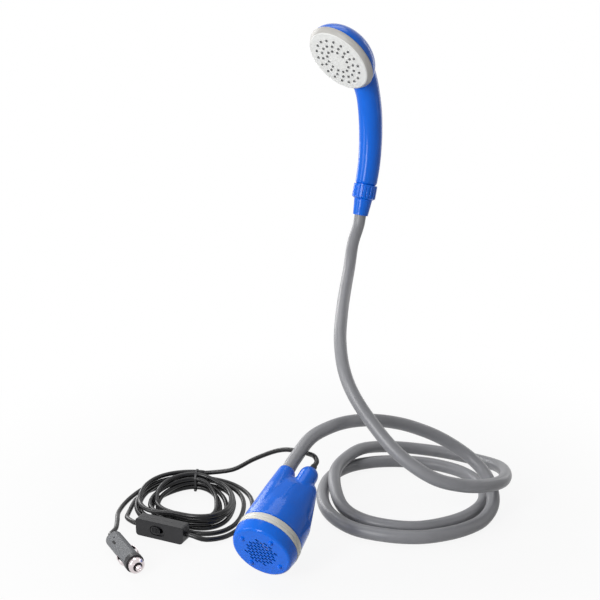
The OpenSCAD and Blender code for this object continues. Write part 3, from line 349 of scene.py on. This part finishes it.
def coil_points():
    """The coil laid down turn by turn: each turn rests on the floor or on the turns under it."""
    plan = [coil_plan(min(i * STEP, SWEEP)) for i in range(int(SWEEP / STEP) + 2)]
    apart = 2 * CABLE_R + REST_GAP
    laid = []
    for first in range(0, len(plan), BATCH):
        stretch = plan[first:first + BATCH]
        need = []
        for q in stretch:
            z = q.z
            for p in laid[:max(len(laid) - LAG, 0)]:
                gap = math.hypot(q.x - p.x, q.y - p.y)
                if gap < apart:
                    z = max(z, p.z + math.sqrt(apart ** 2 - gap * gap))
            need.append(z)
        z = list(need)
        start = laid[-1].z if laid else z[0]
        for _ in range(EASINGS):
            z = [max(n, 0.5 * z[i] + 0.25 * ((z[i - 1] if i else start) + z[min(i + 1, len(z) - 1)]))
                 for i, n in enumerate(need)]
        laid += [Vector((q.x, q.y, h)) for q, h in zip(stretch, z)]
    return laid


coil = coil_points()
GLAND_L, GLAND_RUN, SWITCH_LEAD_Z = 5, 6, 9.5
gland_end = PUMP @ Vector((*BOSS, BOSS_Z + BOSS_R + GLAND_L))
gland_out = PUMP @ Vector((*BOSS, BOSS_Z + BOSS_R + GLAND_L + GLAND_RUN))
pump_lead = [gland_end - (gland_out - gland_end) * 0.5, gland_end, gland_out, (-1, -73, 81.2),
             (-4, -62.5, 79.5), (-12, -51, 77), (-22, -42, 75.5), (-34, -31, 71.5), (-48, -19, 63),
             (-69, -3, 47), (-92, 10, 29)]
switch_lead = [(-201, -48, 4), (-200, -58, 6), (-196, -67, 8)]
switch_lead += [SWITCH @ Vector((x, 0, SWITCH_LEAD_Z)) for x in (-34, -28, -14, 0, 14, 28, 35)]
plug_lead = [(-112, -105, 6), (-92, -92, 2.8), (-76, -68, 2.8), (-69, -38, 2.8), (-72, -6, 2.8),
             (-88, 21, 2.8), (-112, 38, 2.8), (-140, 44, 2.8), (-168, 38, 2.8), (-192, 18, 2.8),
             (-206, -10, 2.8), (-212, -40, 3.4), (-209, -66, 6), (-207, -86, 8)]
plug_lead += [PLUG @ Vector((0, 0, z)) for z in (-10, 0, 4)]
cable_points = smoothed(pump_lead + coil[::-1][::2] + switch_lead + plug_lead, CABLE_STEPS)
cable = cord("cable", cable_points, CABLE_R, "cable", CABLE_ROUND)
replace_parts(cable, "cable_pump_lead", "cable_coil", "cable_switch_lead", "cable_plug_lead")


# Mesh helpers
CREASE, SOFT_CREASE = 35, 60
WELD, POLE_WELD, FLAT = 2e-6, 1e-4, 0.6
DISC_SIDES, BALL_SIDES = 96, 64


def made(name, bm, slot, body="kit", sharp=CREASE, mat=None):
    """A finished piece: smooth but for edges that turn more than sharp degrees."""
    for face in bm.faces:
        face.smooth = True
    for edge in bm.edges:
        edge.smooth = len(edge.link_faces) == 2 and edge.calc_face_angle(0) < rad(sharp)
    mesh = bpy.data.meshes.new(name)
    bm.to_mesh(mesh)
    bm.free()
    obj = bpy.data.objects.new(name, mesh)
    scene.collection.objects.link(obj)
    wear(obj, mat or MATERIALS[slot])
    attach(obj, body)
    return obj


def body_of(node):
    for body, members in frame["record"]["behaviour"]["bodies"].items():
        if node in members:
            return body


def put(bm, place):
    """Moves a mesh made in millimetres to its frame, in metres."""
    bmesh.ops.transform(bm, matrix=Matrix.Scale(MM, 4) @ place, verts=bm.verts)


def rounded(bm, edges, width, segments=2):
    bmesh.ops.bevel(bm, geom=edges, offset=width, offset_type="OFFSET", segments=segments, profile=0.5,
                    affect="EDGES", clamp_overlap=True, material=-1)


GRILLE_FLOOR, GRILLE_THIN, GRILLE_R = 2.4, 1.0, PUMP_R - 3
SAME_HEIGHT = 0.02


def thinned(bm):
    """The cap's floor made thinner from inside, so that its slots look through into the dark."""
    back = PUMP.inverted() @ Matrix.Scale(1 / MM, 4)
    level = [v for v in bm.verts if abs((back @ v.co).z - GRILLE_FLOOR) < SAME_HEIGHT]
    inside = [v for v in level if (back @ v.co).xy.length < GRILLE_R]
    lower = PUMP.to_3x3() @ Vector((0, 0, GRILLE_THIN - GRILLE_FLOOR)) * MM
    bmesh.ops.translate(bm, vec=lower, verts=inside)


def copied(node):
    """The CAD node's mesh, with its loose triangles merged."""
    bm = bmesh.new()
    bm.from_mesh(nodes[node].data)
    bmesh.ops.remove_doubles(bm, verts=bm.verts, dist=WELD)
    return bm


def softened(node, width):
    """The CAD node with its sharp edges rounded, in place of the node."""
    bm = copied(node)
    if node == "intake_cap":
        thinned(bm)
    bmesh.ops.dissolve_limit(bm, angle_limit=rad(FLAT), verts=bm.verts, edges=bm.edges)
    corners = [e for e in bm.edges if len(e.link_faces) == 2 and e.calc_face_angle(0) > rad(CREASE)]
    rounded(bm, corners, width * MM)
    obj = made(node + "_soft", bm, SLOT[node], body_of(node))
    even = obj.modifiers.new("even", "WEIGHTED_NORMAL")
    even.keep_sharp = True
    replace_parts(obj, node)
    return obj


def turned(profile, steps=128):
    """Closed mesh of a profile of radius and height, turned about z."""
    bm = bmesh.new()
    verts = [bm.verts.new((r, 0, z)) for r, z in profile]
    edges = [bm.edges.new(pair) for pair in zip(verts, verts[1:])]
    bmesh.ops.spin(bm, geom=verts + edges, cent=(0, 0, 0), axis=(0, 0, 1), angle=2 * math.pi,
                   steps=steps, use_merge=True)
    bmesh.ops.remove_doubles(bm, verts=bm.verts, dist=POLE_WELD)
    bmesh.ops.recalc_face_normals(bm, faces=bm.faces)
    return bm


def disc(bm, at, z, r):
    bmesh.ops.create_circle(bm, cap_ends=False, radius=r, segments=DISC_SIDES, matrix=shift(*at, z))


def ball(bm, at, z, r):
    bmesh.ops.create_uvsphere(bm, u_segments=BALL_SIDES, v_segments=BALL_SIDES // 2, radius=r,
                              matrix=shift(*at, z))


def hulled(bm):
    """The skin stretched round what the mesh holds."""
    bmesh.ops.delete(bm, geom=bm.edges[:] + bm.faces[:], context="EDGES_FACES")
    found = bmesh.ops.convex_hull(bm, input=bm.verts)
    left = found["geom_interior"] + found["geom_unused"]
    inside = {g for g in left if isinstance(g, bmesh.types.BMVert)}
    bmesh.ops.delete(bm, geom=list(inside), context="VERTS")
    return bm


def joined(parts):
    whole = bmesh.new()
    for bm in parts:
        mesh = bpy.data.meshes.new("part")
        bm.to_mesh(mesh)
        bm.free()
        whole.from_mesh(mesh)
        bpy.data.meshes.remove(mesh)
    return whole


def fused(parts, voxel, rounds):
    """Overlapping closed meshes made one skin, with soft inner corners."""
    whole = joined(parts)
    mesh = bpy.data.meshes.new("whole")
    whole.to_mesh(mesh)
    whole.free()
    obj = bpy.data.objects.new("whole", mesh)
    scene.collection.objects.link(obj)
    remesh = obj.modifiers.new("skin", "REMESH")
    remesh.mode = "VOXEL"
    remesh.voxel_size = voxel
    bm = bmesh.new()
    bm.from_object(obj, bpy.context.evaluated_depsgraph_get())
    bpy.data.objects.remove(obj)
    bpy.data.meshes.remove(mesh)
    for _ in range(rounds):
        bmesh.ops.smooth_vert(bm, verts=bm.verts, factor=0.5, use_axis_x=True, use_axis_y=True,
                              use_axis_z=True)
    return bm


# Pump shell: a tapered body, the cable boss and the raised duct to the hose collar, run into one another.
# Each is the skin round discs and balls, given by their middle, height and radius.
COLLAR_GAP, COLLAR_WALL = 0.3, 1.3
COLLAR_R = HOSE_R + COLLAR_GAP + COLLAR_WALL
BODY_DISCS = [((0, 0), SHELL_Z, PUMP_R - 0.6), ((1, 0), SHELL_Z + 24, PUMP_R - 2.8),
              ((2, -3), SHELL_Z + 50, PUMP_R - 10.5), (COLLAR, COLLAR_Z - 12, COLLAR_R - 1)]
BODY_BALLS = [((12.5, -8), SHELL_Z + 56, 12)]
BOSS_DISCS = [(BOSS, BOSS_Z - 18, BOSS_R)]
BOSS_BALLS = [(BOSS, BOSS_Z, BOSS_R)]
DUCT_DISCS = [((-7, -8), SHELL_Z + 6, PUMP_R - 11), ((-10.5, -12), SHELL_Z + 46, PUMP_R - 18.2),
              (COLLAR, COLLAR_Z, COLLAR_R)]
SHELL_VOXEL, SHELL_ROUNDS = 0.8, 8


def moulding(discs, balls=()):
    bm = bmesh.new()
    for values in discs:
        disc(bm, *values)
    for values in balls:
        ball(bm, *values)
    return hulled(bm)


shell_parts = [moulding(BODY_DISCS, BODY_BALLS), moulding(BOSS_DISCS, BOSS_BALLS), moulding(DUCT_DISCS)]
shell_skin = fused(shell_parts, SHELL_VOXEL, SHELL_ROUNDS)
put(shell_skin, PUMP)
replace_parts(made("pump_shell_skin", shell_skin, "blue", sharp=SOFT_CREASE), "pump_shell")


# Hand shower: grip, dome and the threaded neck under the nut
GRIP_LINE = [(NUT_X, 0), (2.2, 22), (0.2, 44), (0.2, 66), (2.2, 88), (6.5, 108), (14, 126), (24, 141)]
GRIP_R, GRIP_END_R, GRIP_GROWTH, GROWTH_FROM, END_INSET = 14, 13, 8, 0.7, 0.9
GRIP_STEPS, GRIP_SIDES = 8, 64
HEAD_R, RIM_H, DOME_H, DOME_INSET, DOME_STEP = 42.5, 7, 27, 0.4, 3
NECK_R, NECK_H, NECK_DROP = 9.8, 13, 4
HAND_VOXEL, HAND_ROUNDS = 0.9, 6


def grip():
    """A round bar swept along the grip's line, ring by ring."""
    line = smoothed([(x, 0, z + HAND_H) for x, z in GRIP_LINE], GRIP_STEPS)
    bm = bmesh.new()
    edges, before = None, None
    for i, p in enumerate(line):
        t = i / (len(line) - 1)
        r = GRIP_END_R + (GRIP_R - GRIP_END_R) * min(2 * t, 1) + max(t - GROWTH_FROM, 0) * GRIP_GROWTH
        r -= END_INSET if i == 0 else 0
        along = (line[min(i + 1, len(line) - 1)] - line[max(i - 1, 0)]).normalized()
        side = Vector((0, 1, 0))
        facing = Matrix((side.cross(along), side, along)).transposed().to_4x4()
        place = Matrix.Translation(p) @ facing @ Matrix.Scale(r, 4)
        if edges is None:
            bmesh.ops.create_circle(bm, cap_ends=True, radius=1, segments=GRIP_SIDES, matrix=place)
            edges = bm.edges[:]
        else:
            new = bmesh.ops.extrude_edge_only(bm, edges=edges)["geom"]
            edges = [g for g in new if isinstance(g, bmesh.types.BMEdge)]
            verts = [g for g in new if isinstance(g, bmesh.types.BMVert)]
            bmesh.ops.transform(bm, matrix=place @ before.inverted(), verts=verts)
        before = place
    bmesh.ops.contextual_create(bm, geom=edges)
    bmesh.ops.recalc_face_normals(bm, faces=bm.faces)
    return bm


def dome():
    r = HEAD_R - DOME_INSET
    arc = [(r * math.cos(rad(a)), RIM_H + DOME_H * math.sin(rad(a))) for a in range(0, 91, DOME_STEP)]
    bm = turned([(0, RIM_H)] + arc)
    bmesh.ops.transform(bm, matrix=HAND.inverted() @ FACE, verts=bm.verts)
    return bm


def neck():
    bm = turned([(0, -NECK_DROP), (NECK_R, -NECK_DROP), (NECK_R, NECK_H), (0, NECK_H)], GRIP_SIDES)
    bmesh.ops.transform(bm, matrix=HAND.inverted() @ NUT, verts=bm.verts)
    return bm


handset_skin = fused([grip(), dome(), neck()], HAND_VOXEL, HAND_ROUNDS)
put(handset_skin, HAND)
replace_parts(made("handset_skin", handset_skin, "blue", sharp=SOFT_CREASE), "handset_body")

# Spray face: dark rubber tips on the bosses of its nozzles.
# Each ring has its radius, its count of nozzles and the part of a step by which it is turned.
NOZZLE_RINGS = [(29.0, 18, 0), (21.7, 16, 0.5), (14.4, 12, 0)]
TIP_PROFILE = [(0, -0.75), (0.55, -0.75), (0.65, -1.3), (1.0, -1.4), (1.3, -1.15), (1.45, 0.2), (0, 0.2)]
TIP_SIDES, RING_SIDES = 12, 192


def nozzle_ring(r, count, part):
    bm = turned(TIP_PROFILE, TIP_SIDES)
    bmesh.ops.transform(bm, matrix=turn(360 * part / count, "Z") @ shift(r, 0, 0), verts=bm.verts)
    bmesh.ops.spin(bm, geom=bm.verts[:] + bm.edges[:] + bm.faces[:], cent=(0, 0, 0), axis=(0, 0, 1),
                   angle=2 * math.pi * (count - 1) / count, steps=count - 1, use_duplicate=True)
    return bm


tips = joined([nozzle_ring(*ring) for ring in NOZZLE_RINGS])
put(tips, FACE)
made("nozzle_tips", tips, "seal", mat=nozzle_rubber)

# Rim of the face: a ring that stands a little proud of the face where they meet, in a darker warm grey that
# is painted shade for its side
RIM_PROFILE = [(HEAD_R - 3.7, 1.05), (HEAD_R - 3.3, 0.75), (HEAD_R - 2.8, 1.05),
               (HEAD_R + 0.15, RIM_H - 1.2), (HEAD_R + 0.25, RIM_H - 0.7), (HEAD_R + 0.05, RIM_H),
               (HEAD_R - 0.6, RIM_H), (HEAD_R - 0.6, RIM_H - 1.2), (HEAD_R - 3.7, 2.2),
               (HEAD_R - 3.7, 1.05)]
rim = turned(RIM_PROFILE, RING_SIDES)
put(rim, FACE)
made("spray_rim", rim, "spray", mat=rim_painted_shade_grey)

# Trim band with rounded edges and a fine groove
BAND_Z, BAND_H, BAND_IN = 12.3, 8.4, 30.75
GROOVE_Z, GROOVE_W, GROOVE_D = 2.8, 0.6, 0.35
BAND_PROFILE = [(BAND_IN, 0), (PUMP_R - 0.7, 0), (PUMP_R - 0.2, 0.2), (PUMP_R, 0.7), (PUMP_R, GROOVE_Z),
                (PUMP_R - GROOVE_D, GROOVE_Z + 0.1), (PUMP_R - GROOVE_D, GROOVE_Z + GROOVE_W - 0.1),
                (PUMP_R, GROOVE_Z + GROOVE_W), (PUMP_R, BAND_H - 0.7), (PUMP_R - 0.2, BAND_H - 0.2),
                (PUMP_R - 0.7, BAND_H), (BAND_IN, BAND_H), (BAND_IN, 0)]
band = turned(BAND_PROFILE, RING_SIDES)
put(band, PUMP @ shift(0, 0, BAND_Z))
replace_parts(made("trim_band_ring", band, "cream"), "trim_band")

# Tie: a narrow strap drawn round the turns, with its end standing up outside and its knot inside
TIE = shift(*COIL) @ turn(TIE_ANGLE, "Z")
TIE_W, TIE_T, TIE_GAP, TIE_SIDES, END_FACE = 2.2, 0.8, 0.1, 32, 0.9
STUB_SIZE, STUB_OUT, STUB_UP, STUB_LEAN, STUB_EDGE = (1.2, TIE_W, 6), 1.6, 1.2, 14, 0.4
KNOT_SIZE, KNOT_IN, KNOT_Z, KNOT_EDGE = (3.0, 3.2, 2.8), 0.9, 2.2, 0.9


def turns_at(angle):
    """Radius and height at which the turns of the coil pass an angle."""
    found = []
    for p, q in zip(coil, coil[1:]):
        a, b = [(math.degrees(math.atan2(v.y - COIL.y, v.x - COIL.x)) - angle + 180) % 360 - 180
                for v in (p, q)]
        if a >= 0 > b and a - b < 90:
            m = p.lerp(q, a / (a - b))
            found.append((math.hypot(m.x - COIL.x, m.y - COIL.y), m.z))
    return found


def tie_strap(turns):
    """A strip round the bundle: the skin round its turns, without its ends, given a thickness."""
    bm = bmesh.new()
    for r, z in turns:
        for y in (-TIE_W / 2, TIE_W / 2):
            bmesh.ops.create_circle(bm, cap_ends=False, radius=CABLE_R + TIE_GAP, segments=TIE_SIDES,
                                    matrix=shift(r, y, z) @ turn(90, "X"))
    hulled(bm)
    bm.normal_update()
    ends = [f for f in bm.faces if abs(f.normal.y) > END_FACE]
    bmesh.ops.delete(bm, geom=ends, context="FACES")
    bmesh.ops.solidify(bm, geom=bm.faces[:], thickness=-TIE_T)
    return bm


def block(size, place, width, segments):
    """A block with rounded edges."""
    bm = bmesh.new()
    bmesh.ops.create_cube(bm, size=1, matrix=place @ Matrix.Diagonal((*size, 1)))
    rounded(bm, bm.edges[:], width, segments)
    return bm


turns = turns_at(TIE_ANGLE)
outer, inner = max(turns), min(turns)
stub_at = shift(outer[0] + STUB_OUT, 0, outer[1] + CABLE_R + STUB_UP) @ turn(STUB_LEAN, "Y")
stub = block(STUB_SIZE, stub_at, STUB_EDGE, 3)
knot = block(KNOT_SIZE, shift(inner[0] - CABLE_R - KNOT_IN, 0, KNOT_Z), KNOT_EDGE, 3)
tie = joined([tie_strap(turns), stub, knot])
put(tie, TIE)
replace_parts(made("coil_tie_strap", tie, "dark"), "coil_tie")

# Pieces of the CAD model with their edges rounded by so many millimetres
EDGE_WIDTHS = {
    "intake_cap": 0.35, "spray_face": 0.3, "hose_nut": 0.35, "cable_gland": 0.3, "switch_base": 0.5,
    "switch_cover": 0.9, "switch_slider": 0.25, "plug_half_upper": 0.4, "plug_half_lower": 0.4,
    "plug_collar": 0.4, "plug_nose_ring": 0.3, "plug_tip": 0.25, "plug_contact_left": 0.15,
    "plug_contact_right": 0.15}
for node, width in EDGE_WIDTHS.items():
    softened(node, width)

# Spring of the centre contact, as a piece with a mesh of its own
spring = made("plug_spring_wire", copied("plug_spring"), SLOT["plug_spring"])
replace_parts(spring, "plug_spring")
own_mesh(spring)

# Plug: a dark pane behind its window and a dark ring round the centre contact
PANE_SIZE, PANE_AT, PANE_EDGE = (2.3, 1.6, 6.4), (-3.0, 6.4, 16.25), 0.2
RECESS_Z, RECESS_IN, RECESS_OUT, INSULATOR_SIDES = 62.2, 3.35, 4.55, 64
INSULATOR_PROFILE = [(RECESS_IN, -0.1), (RECESS_OUT, -0.1), (RECESS_OUT, 0.3), (RECESS_OUT - 0.25, 0.5),
                     (RECESS_IN + 0.2, 0.5), (RECESS_IN, 0.3), (RECESS_IN, -0.1)]
pane = block(PANE_SIZE, shift(*PANE_AT), PANE_EDGE, 2)
put(pane, PLUG)
made("plug_window", pane, "seal")
insulator = turned(INSULATOR_PROFILE, INSULATOR_SIDES)
put(insulator, PLUG @ shift(0, 0, RECESS_Z))
made("nose_insulator", insulator, "dark")


# Floor
FLOOR_SIZE, FLOOR_DROP = 6, 0.0005
NEAR, FAR, NEAR_SHARE = 0.15, 0.55, 0.90


def floor_material():
    """Matt white that keeps the shadows near the object and is plain white further off."""
    mat = material("floor_white", (0.60, 0.60, 0.60), 0.995, 4, (0.80, 0.85), 0.0, 300)
    tree = mat.node_tree
    place = tree.nodes.new("ShaderNodeTexCoord")
    away = tree.nodes.new("ShaderNodeVectorMath")
    away.operation = "LENGTH"
    tree.links.new(place.outputs["Object"], away.inputs[0])
    fade = tree.nodes.new("ShaderNodeMapRange")
    fade.interpolation_type = "SMOOTHSTEP"
    fade.inputs["From Min"].default_value = NEAR
    fade.inputs["From Max"].default_value = FAR
    fade.inputs["To Min"].default_value = NEAR_SHARE
    tree.links.new(away.outputs["Value"], fade.inputs["Value"])
    share = tree.nodes.new("ShaderNodeMath")
    share.operation = "MULTIPLY"
    tree.links.new(fade.outputs["Result"], share.inputs[0])
    tree.links.new(seen_rays(tree), share.inputs[1])
    white = tree.nodes.new("ShaderNodeEmission")
    mix = tree.nodes.new("ShaderNodeMixShader")
    tree.links.new(share.outputs[0], mix.inputs[0])
    tree.links.new(tree.nodes["Principled BSDF"].outputs[0], mix.inputs[1])
    tree.links.new(white.outputs[0], mix.inputs[2])
    tree.links.new(mix.outputs[0], tree.nodes["Material Output"].inputs["Surface"])
    return mat


bm = bmesh.new()
bmesh.ops.create_grid(bm, x_segments=1, y_segments=1, size=FLOOR_SIZE)
floor_mesh = bpy.data.meshes.new("floor")
bm.to_mesh(floor_mesh)
bm.free()
floor = bpy.data.objects.new("floor", floor_mesh)
floor.location = (0, 0, -FLOOR_DROP)
scene.collection.objects.link(floor)
wear(floor, floor_material())

# Pieces that ride on the cable, listed
on_cable = [bpy.data.objects[n] for n in (
    "coil_tie_strap", "switch_base_soft", "switch_cover_soft", "switch_slider_soft",
    "plug_half_upper_soft", "plug_half_lower_soft", "plug_collar_soft", "plug_nose_ring_soft",
    "plug_tip_soft", "plug_contact_left_soft", "plug_contact_right_soft", "nose_insulator",
    "plug_window", "plug_spring_wire")]
on_cable += [nodes[n] for n in (
    "switch_contacts", "switch_screws", "plug_fuse", "plug_tail", "plug_screw")]
